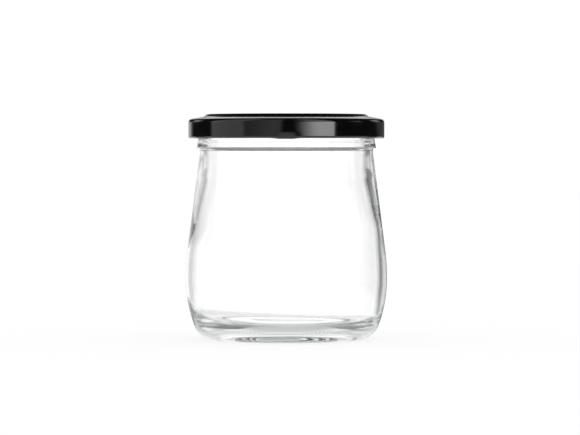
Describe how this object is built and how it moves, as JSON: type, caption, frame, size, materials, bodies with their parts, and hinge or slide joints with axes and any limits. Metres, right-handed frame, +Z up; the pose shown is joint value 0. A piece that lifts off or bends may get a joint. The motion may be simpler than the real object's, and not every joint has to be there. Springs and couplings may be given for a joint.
{
  "type": "jam jar",
  "caption": "Empty clear glass jam jar, narrow at the neck and round at the belly, shut by a glossy black lug cap.",
  "frame": {"origin": "centre of the flat foot ring, on the surface that the jar stands on", "axes": "+Z up along the jar's axis; the picture looks along +Y, with +X to its right"},
  "size_m": [0.076, 0.076, 0.0852],
  "materials": {
    "clear_glass": "clear, polished by fire, with slight waviness inside",
    "black_lacquer": "gloss lacquer on tinplate"
  },
  "bodies": {
    "root": {"jar_glass": "clear_glass", "lid": "black_lacquer"}
  },
  "joints": []
}
